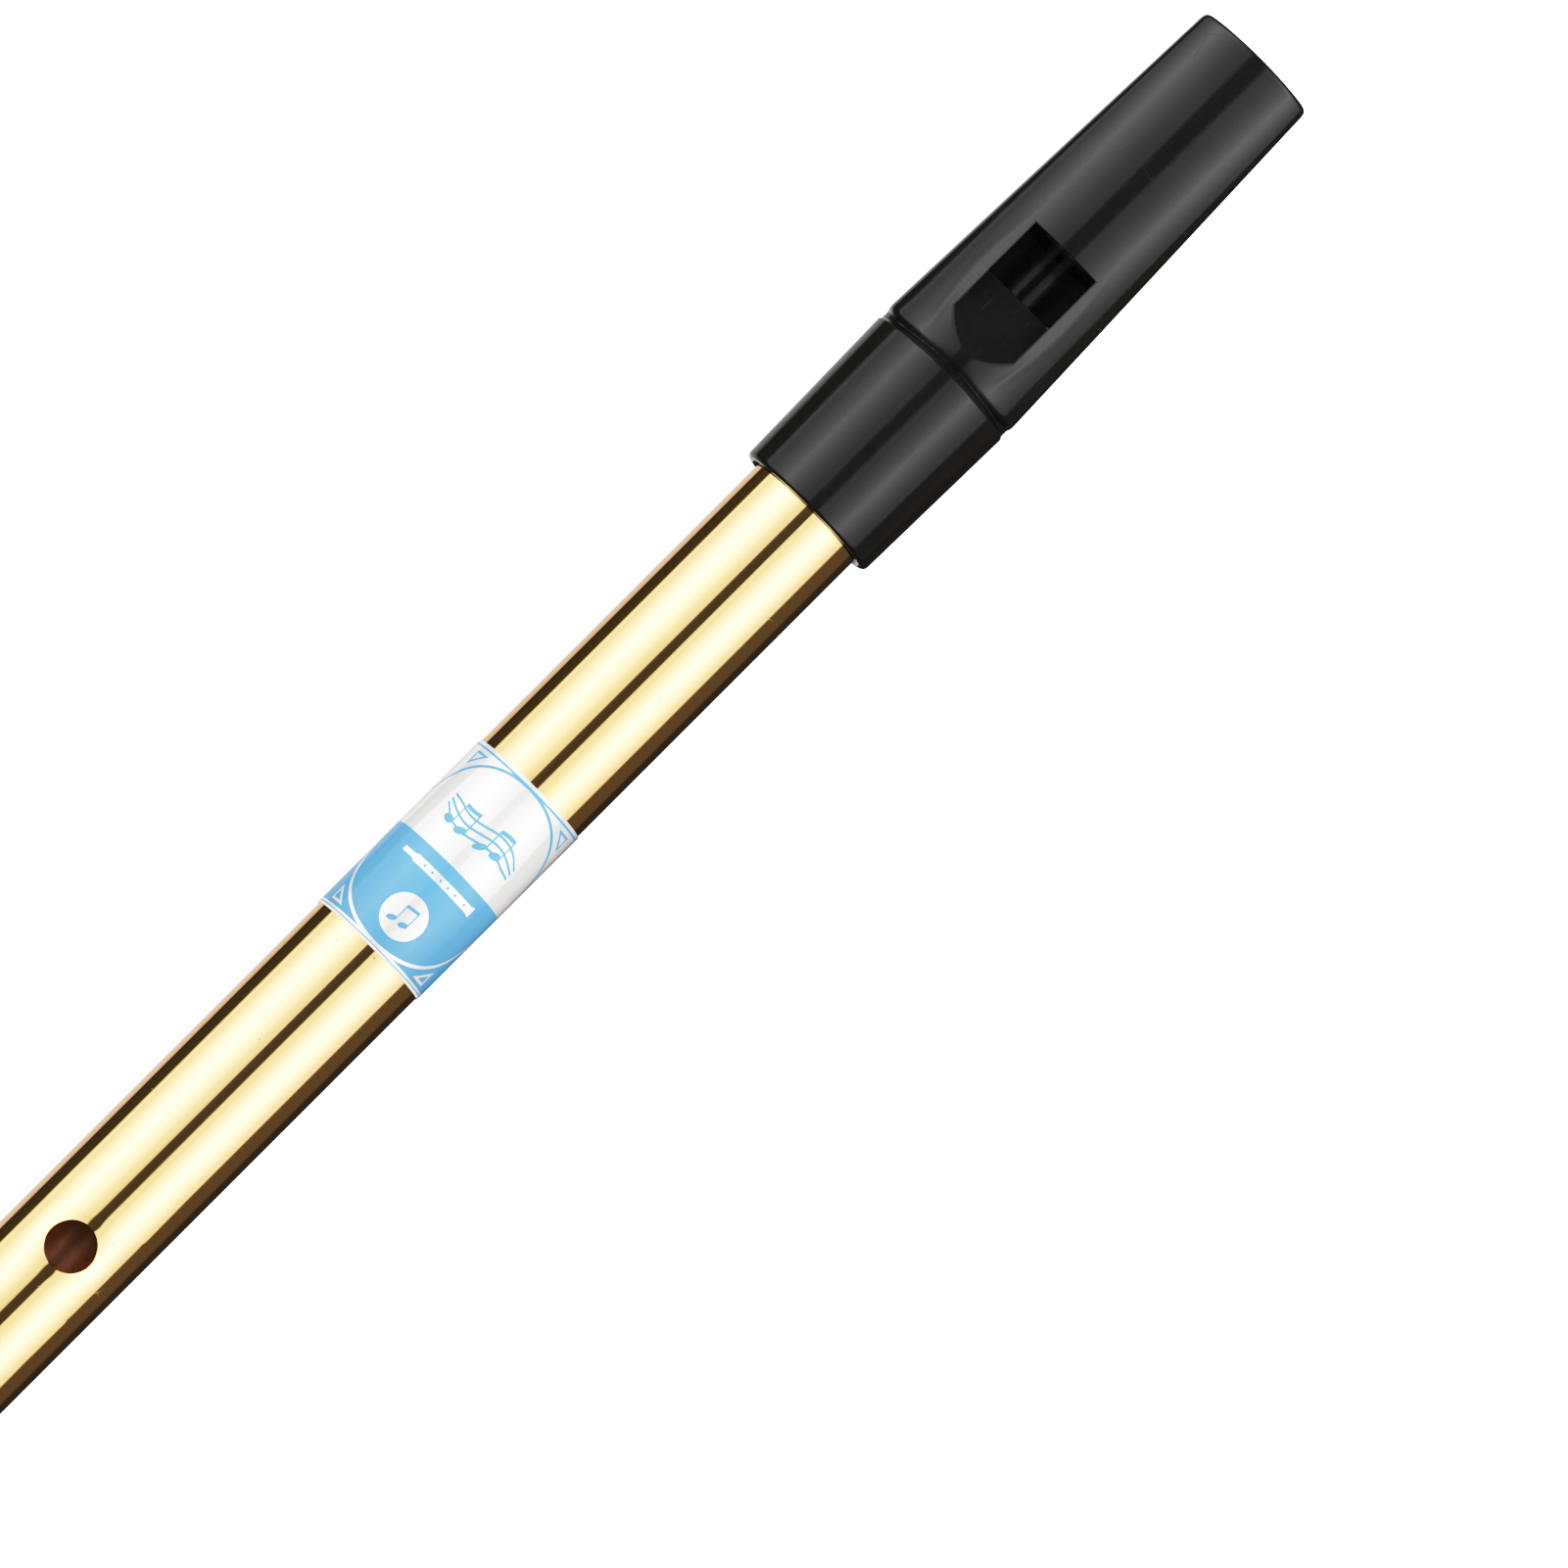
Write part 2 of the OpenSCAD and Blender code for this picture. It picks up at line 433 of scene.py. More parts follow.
def label_material():
    """Gloss label, blue towards the foot and white towards the mouth, with a generic print."""
    s = Surface("label_print", Coat_Roughness=0.06)
    x, y, z = s.position()
    round_tube = y.math("ARCTAN2", z) * (TUBE_R + LABEL_T)
    u = round_tube * -1.0
    v = x - LABEL_X - LABEL_L / 2
    white_half = (v * -1.0).filled(0.02)
    frame_lines = label_frame(u, v)
    disc_u, disc_v = u - 0.2, v + 6.35
    disc = (disc_u.math("POWER", 2.0) + disc_v.math("POWER", 2.0)).math("SQRT") - 2.25
    disc = disc.filled() - label_notes(disc_u, disc_v, 0.85).filled()
    blue_on_white = frame_lines.most(label_stave(u, v))
    white_on_blue = frame_lines.most(label_whistle(u, v)).most(disc)
    whiteness = white_half * (1.0 - blue_on_white) + (1.0 - white_half) * white_on_blue
    edge = (abs(v) - LABEL_L / 2 + 0.22).ramp(-0.05, 0.05)
    ink = s.noise(1.5, detail=3.0)
    wear = s.spots(1.1, 0.09, 0.05)
    blue = s.mix(ink.ramp(0.3, 0.7, 0.0, 0.2), LABEL_BLUE, (0.155, 0.372, 0.615))
    printed = s.mix(whiteness.most(edge), blue, LABEL_WHITE)
    s.set("Base Color", s.mix(wear * 0.5, printed, (0.80, 0.78, 0.74)))
    s.set("Metallic", whiteness.ramp(0.0, 1.0, 0.0, 0.24))
    s.set("Specular IOR Level", whiteness.ramp(0.0, 1.0, 0.3, 0.5))
    s.set("Coat Weight", whiteness.ramp(0.0, 1.0, 0.0, 1.0))
    s.set("Roughness", ink.ramp(0.3, 0.7, 0.09, 0.14))
    s.bump(ink + s.noise(0.25, detail=2.0) * 3.0, 0.004)
    return s.material


def floor_material():
    """Plain pale floor that stays bright beside the dark object."""
    s = Surface("floor_pale", Roughness=0.9, Specular_IOR_Level=0.0)
    tint = s.noise(0.002, detail=2.0)
    s.set("Base Color", s.mix(tint, (0.78, 0.78, 0.78), (0.80, 0.80, 0.80)))
    s.shader.inputs["Emission Color"].default_value = (1.0, 1.0, 1.0, 1.0)
    s.shader.inputs["Emission Strength"].default_value = 1.1
    s.material.cycles.emission_sampling = "NONE"
    return s.material


# ---------------------------------------------------------------- the tube

RIM_ROUND = 0.07
HOLE_LIP = 0.09
HOLE_BURR = 0.05
AROUND = 128
PATCH_HALF_TURN = 18
PATCH_HALF_X = 5.2
PATCH_STEPS_X = 18
PATCH_RINGS = 14
LIP_STEPS = 4
# drilling and deburring draws the wall in a little round each tone hole
DISH_DEPTH = 0.09
DISH_REACH = 0.9


def tube_stations():
    """x of each ring of the long grid, with the rings of each tone hole's patch marked."""
    stations = [RIM_ROUND, 0.3]
    patches = []
    for x in HOLE_X:
        start = x - PATCH_HALF_X
        gap = start - stations[-1]
        steps = max(1, round(gap / 5.0))
        stations += [stations[-1] + gap * k / steps for k in range(1, steps)]
        patches.append(len(stations))
        stations += [start + 2 * PATCH_HALF_X * k / PATCH_STEPS_X for k in range(PATCH_STEPS_X + 1)]
    last, end = stations[-1], TUBE_L - 0.3
    steps = round((end - last) / 5.0)
    stations += [last + (end - last) * k / steps for k in range(1, steps + 1)]
    return stations + [TUBE_L - RIM_ROUND], patches


class TubeBuilder:
    """Gathers points and faces of the tube: an outer and an inner skin joined at ends and holes."""

    def __init__(self):
        self.points = []
        self.faces = []
        self.inside = []

    def add_point(self, x, y, z):
        self.points.append((x, y, z))
        return len(self.points) - 1

    def on_skin(self, x, turn, radius):
        return self.add_point(x, radius * math.sin(turn), radius * math.cos(turn))

    def join(self, first, second, inside, closed=True, flip=False):
        """Quads between two rows of points."""
        count = len(first)
        for k in range(count if closed else count - 1):
            n = (k + 1) % count
            quad = (first[k], first[n], second[n], second[k])
            self.faces.append(quad[::-1] if flip else quad)
            self.inside.append(inside)

    def skin(self, radius, stations, patches, inside):
        """The long grid of one skin, open where the tone holes' patches go."""
        rows = [
            [self.on_skin(x, 2 * math.pi * j / AROUND, radius) for j in range(AROUND)]
            for x in stations
        ]
        first_rows = set()
        for patch in patches:
            first_rows.update(range(patch, patch + PATCH_STEPS_X))
        for i in range(len(rows) - 1):
            for j in range(AROUND):
                n = (j + 1) % AROUND
                in_front = j < PATCH_HALF_TURN or j >= AROUND - PATCH_HALF_TURN
                if i in first_rows and in_front:
                    continue
                quad = (rows[i][j], rows[i + 1][j], rows[i + 1][n], rows[i][n])
                self.faces.append(quad[::-1] if inside else quad)
                self.inside.append(inside)
        return rows

    def patch_border(self, rows, patch):
        """Points round a patch, counter-clockwise from above, with their place in a unit square."""
        turns = list(range(-PATCH_HALF_TURN, PATCH_HALF_TURN + 1))
        steps = list(range(PATCH_STEPS_X + 1))
        path = [(steps[-1], t) for t in turns[:-1]]
        path += [(k, turns[-1]) for k in steps[:0:-1]]
        path += [(0, t) for t in turns[:0:-1]]
        path += [(k, turns[0]) for k in steps[:-1]]
        half = PATCH_STEPS_X / 2
        return [
            (rows[patch + k][t % AROUND], (k - half) / half, t / PATCH_HALF_TURN) for k, t in path
        ]

    def patch(self, rows, patch, x, hole_r, radius, lip, dish, inside):
        """Fills a patch round a tone hole and returns the ring of points at the foot of its lip."""
        border = self.patch_border(rows, patch)
        turn_limit = 2 * math.pi * PATCH_HALF_TURN / AROUND
        angles = [math.atan2(v, u) for _, u, v in border]
        previous = [index for index, _, _ in border]
        edge = hole_r + lip
        for ring in range(1, PATCH_RINGS + 1):
            share = 1 - (1 - ring / PATCH_RINGS) ** 1.8
            current = []
            for angle, (_, u, v) in zip(angles, border):
                edge_turn = math.asin(edge * math.sin(angle) / radius)
                px = (1 - share) * u * PATCH_HALF_X + share * edge * math.cos(angle)
                turn = (1 - share) * v * turn_limit + share * edge_turn
                away = math.hypot(px, radius * math.sin(turn)) - edge
                sunk = dish * math.exp(-(away / DISH_REACH) ** 2)
                current.append(self.on_skin(x + px, turn, radius - sunk))
            self.join(previous, current, inside, flip=inside)
            previous = current
        into_wall = 1 if inside else -1
        for step in range(1, LIP_STEPS + 1):
            bend = math.pi / 2 * step / LIP_STEPS
            reach = hole_r + lip * (1 - math.sin(bend))
            current = []
            for angle in angles:
                y = reach * math.sin(angle)
                z = math.sqrt((radius - dish) ** 2 - y ** 2)
                z += into_wall * lip * (1 - math.cos(bend))
                current.append(self.add_point(x + reach * math.cos(angle), y, z))
            self.join(previous, current, inside, flip=inside)
            previous = current
        return previous

    def rim(self, outer_row, inner_row, x_end, direction):
        """The rounded square-cut end between the outer and the inner skin."""
        previous = outer_row
        bends = [math.pi / 2 * k / 3 for k in range(1, 4)]
        for bend in bends:
            radius = TUBE_R - RIM_ROUND * (1 - math.cos(bend))
            x = x_end - direction * RIM_ROUND * (1 - math.sin(bend))
            current = [self.on_skin(x, 2 * math.pi * j / AROUND, radius) for j in range(AROUND)]
            self.join(previous, current, False, flip=direction > 0)
            previous = current
        for bend in bends[::-1]:
            radius = BORE_R + RIM_ROUND * (1 - math.cos(bend))
            x = x_end - direction * RIM_ROUND * (1 - math.sin(bend))
            current = [self.on_skin(x, 2 * math.pi * j / AROUND, radius) for j in range(AROUND)]
            self.join(previous, current, False, flip=direction > 0)
            previous = current
        self.join(previous, inner_row, False, flip=direction > 0)


def make_tube(outside, bore):
    """The tube as one closed mesh, with its bore in a second material."""
    stations, patches = tube_stations()
    builder = TubeBuilder()
    outer = builder.skin(TUBE_R, stations, patches, False)
    inner = builder.skin(BORE_R, stations, patches, True)
    for patch, x, diameter in zip(patches, HOLE_X, HOLE_D):
        hole_r = diameter / 2
        top = builder.patch(outer, patch, x, hole_r, TUBE_R, HOLE_LIP, DISH_DEPTH, False)
        foot = builder.patch(inner, patch, x, hole_r, BORE_R, HOLE_BURR, 0.0, True)
        builder.join(top, foot, False)
    builder.rim(outer[0], inner[0], 0.0, -1)
    builder.rim(outer[-1], inner[-1], TUBE_L, 1)
    tube = make_piece("brass_tube", builder.points, builder.faces, outside)
    tube.data.materials.append(bore)
    tube.data.polygons.foreach_set("material_index", [int(i) for i in builder.inside])
    return tube


# ---------------------------------------------------------------- solids from distance fields

def smooth_max(a, b, k):
    """The larger of two fields, with the corner between them rounded over about k."""
    h = np.clip(k - np.abs(a - b), 0.0, None) / k
    return np.maximum(a, b) + h * h * k * 0.25


def smooth_min(a, b, k):
    """The smaller of two fields, with a fillet of about k in the corner between them."""
    return -smooth_max(-a, -b, k)


def carve(solid, *cut, k=0.12):
    """Takes away the space where every field in cut is negative."""
    space = cut[0]
    for other in cut[1:]:
        space = np.maximum(space, other)
    return smooth_max(solid, -space, k)


def intersect(first, *others, k):
    """The solid that all the fields share, with its edges rounded over about k."""
    for other in others:
        first = smooth_max(first, other, k)
    return first


def along(x, at_shoulder, at_tip):
    """Value on the straight line from the shoulder's value to the tip's value."""
    return at_shoulder + (at_tip - at_shoulder) * (x - SHOULDER_X) / (TIP_X - SHOULDER_X)


def two_ellipse_section(y, z, half_w, top, middle, bottom):
    """Signed distance, near enough, to a section of two half ellipses that share their width."""
    reach = np.where(z > middle, top - middle, middle - bottom)
    u, v = y / half_w, (z - middle) / reach
    g = np.sqrt(u * u + v * v) + 1e-6
    slope = np.sqrt((u / half_w) ** 2 + (v / reach) ** 2) / g + 1e-6
    return (g - 1.0) / slope


def beak_bottom(x):
    """The underside stays low as far as the knee and then rises to the tip."""
    slope_before = (KNEE_BOTTOM - SHOULDER_BOTTOM) / (KNEE_X - SHOULDER_X)
    slope_after = (TIP_BOTTOM - KNEE_BOTTOM) / (TIP_X - KNEE_X)
    before = SHOULDER_BOTTOM + slope_before * (x - SHOULDER_X)
    after = KNEE_BOTTOM + slope_after * (x - KNEE_X)
    return smooth_max(before, after, 2.5)


def socket_field(x, r):
    """The outside of the socket: a slight cone with a rounded mouth and a bevelled closed end."""
    slope = (SOCKET_END_R - SOCKET_MOUTH_R) / (GROOVE_X - SOCKET_X)
    side = r - (SOCKET_MOUTH_R + slope * (x - SOCKET_X))
    closed_end = ((r - SOCKET_END_R) + (x - GROOVE_X)) * math.sqrt(0.5)
    return smooth_max(smooth_max(side, SOCKET_X - x, 0.6), closed_end, 0.1)


def cheek_ridge(x, y):
    """Height of a faint raised line that bows along each cheek, from shoulder to window."""
    run = np.clip((x - SHOULDER_X - 2.0) / (WINDOW_X - SHOULDER_X), 0, 1)
    line = 4.2 + 0.85 * np.sin(run * math.pi)
    fade = np.clip((x - SHOULDER_X - 1.2) / 1.6, 0, 1) * np.clip((WINDOW_X + 2.0 - x) / 6.0, 0, 1)
    return RIDGE_H * fade * np.exp(-((np.abs(y) - line) / RIDGE_W) ** 2)


def beak_field(x, y, z):
    """A flattish crown over a deep underside, with upright sides and rounded edges all round."""
    half_w = along(x, BEAK_HALF_W, TIP_HALF_W)
    middle = along(x, SHOULDER_MIDDLE, TIP_MIDDLE)
    top = BEAK_TOP - CROWN_DROP * np.clip(1 - (x - SHOULDER_X) / CROWN_DROP_L, 0, 1.3) ** 2
    section = two_ellipse_section(y, z, half_w + CROWN_SPREAD, top, middle, beak_bottom(x))
    section = smooth_max(section, np.abs(y) - half_w, 0.5)
    section = section - cheek_ridge(x, y)
    # the shoulder bows towards the socket on each cheek, and the tip bows outwards
    shoulder = SHOULDER_X + SHOULDER_BOW * ((y * y - 16.0) / 48.0) ** 2 - x
    end = x - TIP_X + TIP_BOW * (y / TIP_HALF_W) ** 2
    return smooth_max(smooth_max(section, shoulder, 0.8), end, 0.65)


def mouthpiece_field(x, y, z):
    """The whole moulding: socket, groove and beak, less everything that is hollow."""
    r = np.sqrt(y * y + z * z)
    groove = two_ellipse_section(y, z, GROOVE_HALF_W, GROOVE_TOP, 0.0, GROOVE_BOTTOM)
    groove = np.maximum(np.maximum(groove, GROOVE_X - 1.0 - x), x - SHOULDER_X - 0.6)
    solid = smooth_min(smooth_min(socket_field(x, r), groove, 0.05), beak_field(x, y, z), 0.04)

    # the socket with its lead-in, and the wind chamber with a flat roof under the blade
    solid = carve(solid, r - SOCKET_BORE_R, x - STOP_X, k=0.1)
    solid = carve(solid, (r - SOCKET_BORE_R - 0.3 + (x - SOCKET_X)) * math.sqrt(0.5), k=0.08)
    solid = carve(solid, r - CHAMBER_R, z - BLADE_Z, x - WINDOW_X, STOP_X - 1.0 - x, k=0.06)

    # the space that holds the block, with the windway above it
    solid = carve(solid, block_space_field(x, y, z), z - FLOOR_Z, WINDOW_X - 0.5 - x, k=0.05)
    side = np.abs(y) - WINDWAY_HALF_W
    solid = carve(solid, side, z - ROOF_Z, FLOOR_Z - 1.0 - z, WINDOW_X - 1.0 - x, k=0.12)

    # the window, then the ramp down to the blade, which ends in a narrow land
    solid = carve(solid, side, -z, x - WINDOW_X, BLADE_X - x, k=0.14)
    rise = (BEAK_TOP - BLADE_Z - BLADE_T) / (BLADE_X - RAMP_X)
    ramp = (BLADE_Z + BLADE_T + rise * (BLADE_X - x) - z) / math.sqrt(1 + rise * rise)
    land = BLADE_Z + BLADE_T + LAND_RISE * (BLADE_X - x) + LAND_DROP - z
    ramp = np.maximum(ramp, np.where(x > BLADE_X - LAND_L, land, -1.0))
    solid = carve(solid, side, ramp, x - BLADE_X - 0.2, RAMP_X - 2.0 - x, k=0.1)
    # a little flash where the blade meets one cheek
    away = (x - BLADE_X) ** 2 + (y + WINDWAY_HALF_W) ** 2 + (z - BLADE_Z - BLADE_T) ** 2
    flash = np.sqrt(away) - 0.14
    return smooth_min(solid, flash, 0.12)


def block_space_field(x, y, z):
    """Round at the window and oval at the mouth tip."""
    t = np.clip((x - WINDOW_X) / (TIP_X - WINDOW_X), 0.0, None)
    half_w = CHAMBER_R + (TIP_HALF_W - TIP_WALL - CHAMBER_R) * t
    top = CHAMBER_R + (BEAK_TOP - TIP_WALL - CHAMBER_R) * t
    bottom = -CHAMBER_R + (TIP_BOTTOM + TIP_WALL + CHAMBER_R) * t
    return two_ellipse_section(y, z, half_w, top, TIP_MIDDLE * t, bottom)


def block_field(x, y, z):
    """The block is pressed in, and its end stands a little inside the mouth tip."""
    return intersect(
        block_space_field(x, y, z) - 0.02, z - FLOOR_Z, WINDOW_X - x, x - TIP_X + 0.05, k=0.22
    )


def grid_line(*stretches):
    """Grid coordinates: stretches are (start, end, step), one after the other."""
    values = []
    for start, end, step in stretches:
        count = max(1, round((end - start) / step))
        values += [start + (end - start) * k / count for k in range(count)]
    values.append(stretches[-1][1])
    return np.array(values)


def gradient(field, p, step=0.004):
    """Slope of a field along x, y and z at each point of p."""
    slopes = []
    for axis in range(3):
        ahead, behind = p.copy(), p.copy()
        ahead[:, axis] += step
        behind[:, axis] -= step
        slopes.append((field(*ahead.T) - field(*behind.T)) / (2 * step))
    return np.stack(slopes, axis=1)


def solid_mesh(field, xs, ys, zs):
    """Surface of a field as quads: one point in each grid cell that the surface crosses."""
    gx, gy, gz = np.meshgrid(xs, ys, zs, indexing="ij")
    values = field(gx, gy, gz)
    grid = np.stack((gx, gy, gz), axis=-1)
    cells = tuple(n - 1 for n in values.shape)
    total = np.zeros((*cells, 3))
    count = np.zeros(cells)
    crossings = []
    for axis in range(3):
        low = [slice(None)] * 3
        high = [slice(None)] * 3
        low[axis], high[axis] = slice(0, -1), slice(1, None)
        a, b = values[tuple(low)], values[tuple(high)]
        crossed = (a < 0) != (b < 0)
        crossings.append((crossed, a < 0))
        share = np.where(crossed, a / np.where(crossed, a - b, 1.0), 0.0)[..., None]
        place = grid[tuple(low)] * (1 - share) + grid[tuple(high)] * share
        place = np.where(crossed[..., None], place, 0.0)
        others = [k for k in range(3) if k != axis]
        for shift_a in (0, 1):
            for shift_b in (0, 1):
                part = [slice(None)] * 3
                for other, shift in zip(others, (shift_a, shift_b)):
                    part[other] = slice(shift, cells[other] + shift)
                total += place[tuple(part)]
                count += crossed[tuple(part)]
    used = count > 0
    index = np.full(cells, -1)
    index[used] = np.arange(used.sum())
    points = total[used] / count[used][:, None]

    for _ in range(4):
        slope = gradient(field, points)
        size = (slope ** 2).sum(1)
        move = slope * (field(*points.T) / np.maximum(size, 0.05))[:, None]
        points -= np.clip(move, -0.15, 0.15)
    normals = gradient(field, points)
    normals /= np.linalg.norm(normals, axis=1)[:, None] + 1e-9

    faces = []
    for axis, (crossed, inside_first) in enumerate(crossings):
        b, c = [k for k in range(3) if k != axis]
        inner = [slice(None)] * 3
        inner[b] = slice(1, -1)
        inner[c] = slice(1, -1)
        places = np.argwhere(crossed[tuple(inner)])
        places[:, b] += 1
        places[:, c] += 1
        corners = []
        for shift_b, shift_c in ((0, 0), (-1, 0), (-1, -1), (0, -1)):
            at = places.copy()
            at[:, b] += shift_b
            at[:, c] += shift_c
            corners.append(index[tuple(at.T)])
        quads = np.stack(corners, axis=1)
        outward = inside_first[tuple(places.T)]
        if axis == 1:
            outward = ~outward
        quads[~outward] = quads[~outward][:, ::-1]
        faces.append(quads)
    return points, np.concatenate(faces), normals


def make_mouthpiece(outside, cavity):
    """The moulding, with finer grid lines at its edges, and the cavity's material inside."""
    xs = grid_line(
        (SOCKET_X - 0.16, SOCKET_X + 0.8, 0.08), (SOCKET_X + 0.8, GROOVE_X - 0.3, 0.6),
        (GROOVE_X - 0.3, SHOULDER_X + 1.0, 0.08), (SHOULDER_X + 1.0, BLADE_X - 0.4, 0.17),
        (BLADE_X - 0.4, BLADE_X + 0.4, 0.06), (BLADE_X + 0.4, WINDOW_X - 0.3, 0.3),
        (WINDOW_X - 0.3, WINDOW_X + 0.3, 0.06), (WINDOW_X + 0.3, TIP_X - 0.6, 0.6),
        (TIP_X - 0.6, TIP_X + 0.16, 0.08),
    )
    half = WINDWAY_HALF_W
    right_side = ((half - 0.25, half + 0.25, 0.06), (half + 0.25, BEAK_HALF_W + 0.2, 0.25))
    left_side = [(-end, -start, step) for start, end, step in right_side[::-1]]
    ys = grid_line(*left_side, (-half + 0.25, half - 0.25, 0.22), *right_side)
    zs = grid_line(
        (-SOCKET_END_R - 0.2, 4.7, 0.36), (4.7, 6.1, 0.07), (6.1, SOCKET_END_R + 0.2, 0.12),
    )
    points, faces, normals = solid_mesh(mouthpiece_field, xs, ys, zs)
    mouthpiece = make_piece("moulded_mouthpiece", points, faces, outside, normals)
    mouthpiece.data.materials.append(cavity)
    middles = points[faces].mean(axis=1)
    in_bore = np.hypot(middles[:, 1], middles[:, 2]) < SOCKET_BORE_R + 0.02
    in_bore &= (middles[:, 0] < WINDOW_X + 0.02) & (middles[:, 2] < BLADE_Z + 0.02)
    mouthpiece.data.polygons.foreach_set("material_index", in_bore.astype(int))
    return mouthpiece


def make_block(material):
    """The block, with finer grid lines at its ends and its top."""
    xs = grid_line(
        (WINDOW_X - 0.12, WINDOW_X + 0.6, 0.06), (WINDOW_X + 0.6, TIP_X - 0.6, 0.5),
        (TIP_X - 0.6, TIP_X + 0.12, 0.06),
    )
    ys = grid_line((-CHAMBER_R - 0.2, CHAMBER_R + 0.2, 0.16))
    zs = grid_line((-CHAMBER_R - 0.2, FLOOR_Z - 0.5, 0.2), (FLOOR_Z - 0.5, FLOOR_Z + 0.12, 0.05))
    points, faces, normals = solid_mesh(block_field, xs, ys, zs)
    return make_piece("windway_block", points, faces, material, normals)


# ---------------------------------------------------------------- the label

LABEL_OVERLAP = math.radians(14.0)
LABEL_STEPS = 196
LABEL_GAP = 0.004


def make_label(material):
    """The wrap: one strip round the tube that overlaps itself along the back."""
    start = math.pi - LABEL_OVERLAP / 2
    sweep = 2 * math.pi + LABEL_OVERLAP
    edge = LABEL_T * 0.4
    low, high = LABEL_X, LABEL_X + LABEL_L
    # outline of the strip's cross-section: place along the tube and height above the brass
    outline = [
        (low, LABEL_GAP), (low, LABEL_T - edge), (low + edge, LABEL_T),
        (high - edge, LABEL_T), (high, LABEL_T - edge), (high, LABEL_GAP),
    ]
    points = []
    for step in range(LABEL_STEPS + 1):
        turned = sweep * step / LABEL_STEPS
        # the strip's end climbs onto its start within the first third of the overlap
        over = (turned - 2 * math.pi) / LABEL_OVERLAP + 0.5
        lift = LABEL_T * min(1.0, max(0.0, over * 3.0))
        for x, height in outline:
            r = TUBE_R + height + lift
            points.append((x, r * math.sin(start + turned), r * math.cos(start + turned)))
    n = len(outline)
    faces = [tuple(range(n)), tuple(LABEL_STEPS * n + k for k in reversed(range(n)))]
    for step in range(LABEL_STEPS):
        for k in range(n):
            m = (k + 1) % n
            a, b = step * n, (step + 1) * n
            faces.append((a + k, b + k, b + m, a + m))
    return make_piece("wrap_label", points, faces, material)


# ---------------------------------------------------------------- stage, light and camera

def make_floor(material):
    """A pale floor, in metres, that touches the tube's foot rim and the end of the socket."""
    reach = 40.0
    tilt = math.atan2(SOCKET_END_R - TUBE_R, STOP_X)
    mesh = bpy.data.meshes.new("floor")
    corners = [(-reach, -reach, 0), (reach, -reach, 0), (reach, reach, 0), (-reach, reach, 0)]
    mesh.from_pydata(corners, [], [(0, 1, 2, 3)])
    mesh.materials.append(material)
    floor = bpy.data.objects.new("floor", mesh)
    floor.location = (0, 0, -TUBE_R * MM)
    floor.rotation_euler = (0, tilt, 0)
    bpy.context.scene.collection.objects.link(floor)
    floor.visible_glossy = False
    floor.visible_diffuse = False


def make_light_tent():
    """Two long soft walls of light on either side, open above for the camera and at both ends.

    The stops give the light at each angle round the tube, in degrees from straight up.
    """
    world = bpy.data.worlds.new("light_tent")
    bpy.context.scene.world = world
    world.use_nodes = True
    tree = world.node_tree
    split = tree.nodes.new("ShaderNodeSeparateXYZ")
    tree.links.new(tree.nodes.new("ShaderNodeTexCoord").outputs["Generated"], split.inputs[0])
    x, y, z = (Field(tree, output) for output in split.outputs)
    # angle round the tube from straight up, positive on the -Y side, as a share of a half turn
    around = (y * -1.0).math("ARCTAN2", z) / (2 * math.pi) + 0.5
    ramp = tree.nodes.new("ShaderNodeValToRGB")
    warm_dark = (0.13, 0.12, 0.095)
    stops = (
        (-180, 0.68), (-137, 0.62), (-132, (0.07, 0.04, 0.03)), (-120, (0.075, 0.062, 0.045)),
        (-103, (0.07, 0.075, 0.055)), (-98, 1.35), (-91, 1.1), (-85, 1.2), (-75, 1.65), (-62, 2.3),
        (-53, 3.05), (-44, 2.4), (-30, 1.7), (-20, 1.2), (-12, 1.0), (-8.5, 1.05),
        (-5.8, (0.105, 0.105, 0.08)), (9, (0.085, 0.085, 0.07)), (11.3, 1.1), (20, 1.15),
        (32, 1.7), (44, 2.45), (50, 3.15), (60, 2.4), (75, 1.5), (85, 1.07), (90, 1.1),
        (93.5, warm_dark), (124, warm_dark), (134, (0.055, 0.042, 0.03)),
        (180, (0.04, 0.035, 0.035)),
    )
    elements = ramp.color_ramp.elements
    first_and_last = {-180: 0, 180: -1}
    for angle, light in stops:
        if angle in first_and_last:
            element = elements[first_and_last[angle]]
        else:
            element = elements.new((angle + 180) / 360)
        element.color = (*light, 1.0) if isinstance(light, tuple) else (light, light, light, 1.0)
    tree.links.new(around.socket, ramp.inputs[0])
    # the walls of light have rounded ends, longest along their brightest line
    off_line = (abs(around - 0.5) - 0.145) / 0.125
    along_tube = x.most(x * -1.3)
    past_end = (along_tube + (off_line * off_line).least(1.4) * 0.25).ramp(0.68, 1.25)
    mix = tree.nodes.new("ShaderNodeMix")
    mix.data_type = "RGBA"
    tree.links.new(past_end.socket, mix.inputs["Factor"])
    tree.links.new(ramp.outputs[0], mix.inputs[6])
    mix.inputs[7].default_value = (0.04, 0.04, 0.04, 1.0)
    tree.links.new(mix.outputs[2], tree.nodes["Background"].inputs["Color"])


PIXELS_PER_MM = 11.27
FRAME_PIXELS = 1601
CAMERA_TILT = math.radians(5.0)
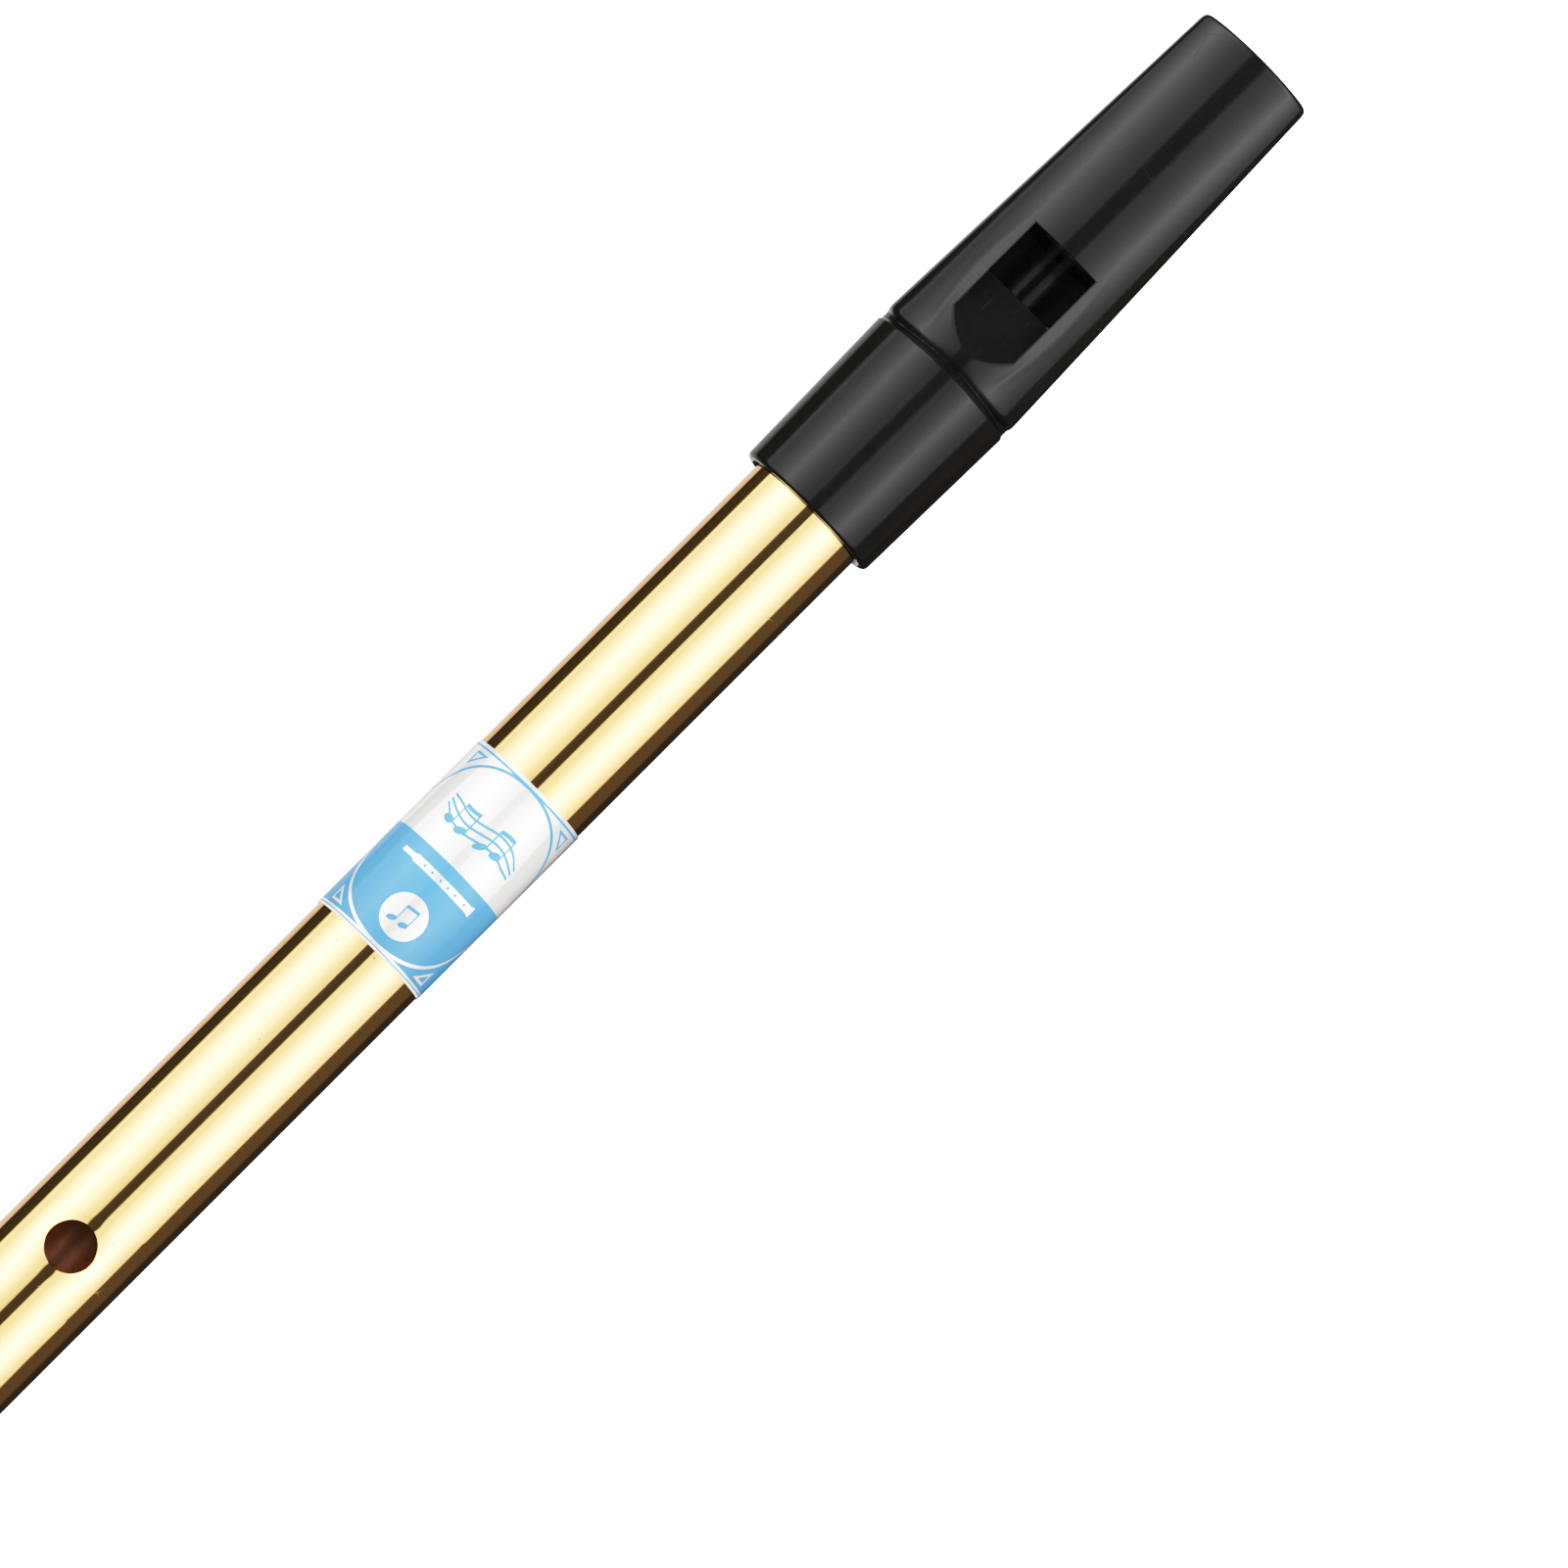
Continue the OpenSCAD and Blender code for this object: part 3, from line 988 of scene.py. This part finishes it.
# what the middle of the picture looks at, in millimetres
LOOK_AT = (224.3, -16.0, 0.0)


def make_camera():
    """A long lens above, a little to the foot side, with the tube running up to the right."""
    data = bpy.data.cameras.new("camera")
    data.sensor_width = 36.0
    data.lens = 1000.0
    camera = bpy.data.objects.new("camera", data)
    bpy.context.scene.collection.objects.link(camera)
    width = FRAME_PIXELS / PIXELS_PER_MM * MM
    distance = width * data.lens / data.sensor_width
    back = Vector((-math.sin(CAMERA_TILT), 0.0, math.cos(CAMERA_TILT)))
    along_tube = Vector((math.cos(CAMERA_TILT), 0.0, math.sin(CAMERA_TILT)))
    across = Vector((0.0, 1.0, 0.0))
    right = (along_tube - across).normalized()
    up = (along_tube + across).normalized()
    turn = Matrix((right, up, back)).transposed()
    camera.matrix_world = Matrix.Translation(Vector(LOOK_AT) * MM + back * distance) @ turn.to_4x4()
    bpy.context.scene.camera = camera


# scene light that shows as pure white, and points of light against shown value on the way
TONE_WHITE = 2.2
TONE_POINTS = (
    (0.06, 0.038), (0.13, 0.115), (0.2, 0.2), (0.4, 0.475), (0.7, 0.76), (1.0, 0.89), (1.5, 0.985),
)


def set_tone_curve():
    """A film-like curve: deep blacks, and highlights that roll off towards white."""
    view = bpy.context.scene.view_settings
    view.view_transform = "Standard"
    view.use_curve_mapping = True
    mapping = view.curve_mapping
    mapping.white_level = (TONE_WHITE, TONE_WHITE, TONE_WHITE)
    curve = mapping.curves[3]
    for light, shown in TONE_POINTS:
        curve.points.new(light / TONE_WHITE, shown)
    mapping.update()


# ---------------------------------------------------------------- putting it together

set_tone_curve()
make_camera()
make_light_tent()
make_floor(floor_material())

tube = make_tube(brass_material(), bore_material())
mouthpiece = make_mouthpiece(moulding_material(), cavity_material())
block = make_block(block_material())
label = make_label(label_material())

for piece, body, node, slot in (
    (tube, "body", "tube", "brass"),
    (label, "body", "label", "label"),
    (mouthpiece, "head", "mouthpiece", "moulding"),
    (block, "head", "fipple_block", "block"),
):
    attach(piece, body)
    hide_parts(node)
